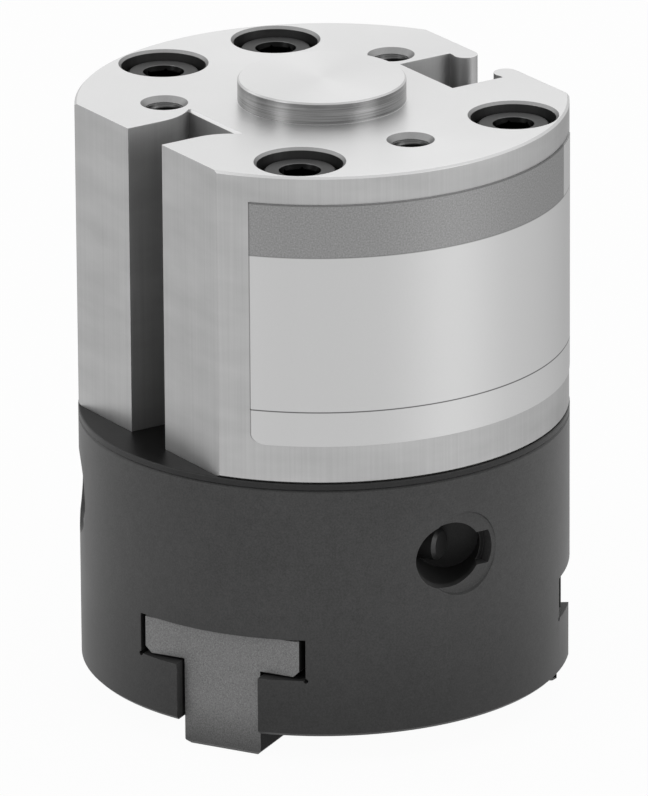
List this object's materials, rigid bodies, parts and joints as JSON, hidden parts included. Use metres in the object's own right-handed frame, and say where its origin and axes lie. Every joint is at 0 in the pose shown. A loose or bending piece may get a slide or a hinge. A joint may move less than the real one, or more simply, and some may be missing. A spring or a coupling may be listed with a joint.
{
  "type": "three jaw centric gripper",
  "caption": "Air-driven robot gripper: a piston moves three T-guided jaws together toward or away from the centre, with a boss and threads for mounting and grooves for sensors.",
  "frame": {"origin": "centre of the mounting face, where the axis of the gripper meets it", "axes": "+Z out of the mounting face along the gripper's axis, jaws at -Z; -Y toward the label, +Y toward the air ports; jaws at 90, 210 and 330 degrees about Z"},
  "size_m": [0.044, 0.0441, 0.0567],
  "materials": {
    "body_aluminium": "fine turned and milled, clear anodised",
    "black_steel": "matte black oxide",
    "guide_brass": "turned",
    "bush_bronze": "sintered",
    "seal_rubber": "matte",
    "bumper_rubber": "satin polyurethane",
    "black_screw": "black oxide",
    "label_foil": "satin printed foil",
    "hardened_pin": "ground",
    "piston_aluminium": "turned",
    "magnet": "pressed, dull",
    "wear_plastic": "moulded",
    "rod_steel": "ground and polished",
    "nut_steel": "zinc plated",
    "lever_steel": "hardened, dark",
    "jaw_steel": "fine blasted, hardened"
  },
  "bodies": {
    "housing": {"cylinder_body": "body_aluminium", "spacer_plate": "black_steel", "jaw_body": "black_steel", "rod_guide": "guide_brass", "rod_bush": "bush_bronze", "guide_o_ring": "seal_rubber", "rod_seal": "seal_rubber", "upper_bumper": "bumper_rubber", "lower_bumper": "bumper_rubber", "cap_screws": "black_screw", "name_label": "label_foil", "pivot_pin_a": "hardened_pin", "pivot_pin_b": "hardened_pin", "pivot_pin_c": "hardened_pin"},
    "piston_set": {"piston": "piston_aluminium", "piston_magnet": "magnet", "piston_seal": "seal_rubber", "wear_ring": "wear_plastic", "piston_rod": "rod_steel", "rod_o_ring": "seal_rubber", "rod_nut": "nut_steel"},
    "lever_a": {"lever_a": "lever_steel"},
    "lever_b": {"lever_b": "lever_steel"},
    "lever_c": {"lever_c": "lever_steel"},
    "jaw_a": {"jaw_a": "jaw_steel"},
    "jaw_b": {"jaw_b": "jaw_steel"},
    "jaw_c": {"jaw_c": "jaw_steel"}
  },
  "joints": [
    {"name": "piston_slide", "type": "slide", "parent": "housing", "child": "piston_set", "axis": [0, 0, 1], "range_m": [0, 0.00112]},
    {"name": "lever_a_pivot", "type": "hinge", "parent": "housing", "child": "lever_a", "pos_m": [0, 0.0097, -0.0363], "axis": [-1, 0, 0], "range_deg": [0, 12.62]},
    {"name": "jaw_a_slide", "type": "slide", "parent": "housing", "child": "jaw_a", "axis": [0, -1, 0], "range_m": [0, 0.002]},
    {"name": "lever_b_pivot", "type": "hinge", "parent": "housing", "child": "lever_b", "pos_m": [-0.0084, -0.00485, -0.0363], "axis": [0.5, -0.866, 0], "range_deg": [0, 12.62]},
    {"name": "jaw_b_slide", "type": "slide", "parent": "housing", "child": "jaw_b", "axis": [0.866, 0.5, 0], "range_m": [0, 0.002]},
    {"name": "lever_c_pivot", "type": "hinge", "parent": "housing", "child": "lever_c", "pos_m": [0.0084, -0.00485, -0.0363], "axis": [0.5, 0.866, 0], "range_deg": [0, 12.62]},
    {"name": "jaw_c_slide", "type": "slide", "parent": "housing", "child": "jaw_c", "axis": [-0.866, 0.5, 0], "range_m": [0, 0.002]}
  ],
  "couplings": [
    {"joint": "lever_a_pivot", "follows": "piston_slide", "rad_per_m": 196.48},
    {"joint": "jaw_a_slide", "follows": "piston_slide", "ratio": 1.7843},
    {"joint": "lever_b_pivot", "follows": "piston_slide", "rad_per_m": 196.48},
    {"joint": "jaw_b_slide", "follows": "piston_slide", "ratio": 1.7843},
    {"joint": "lever_c_pivot", "follows": "piston_slide", "rad_per_m": 196.48},
    {"joint": "jaw_c_slide", "follows": "piston_slide", "ratio": 1.7843}
  ]
}
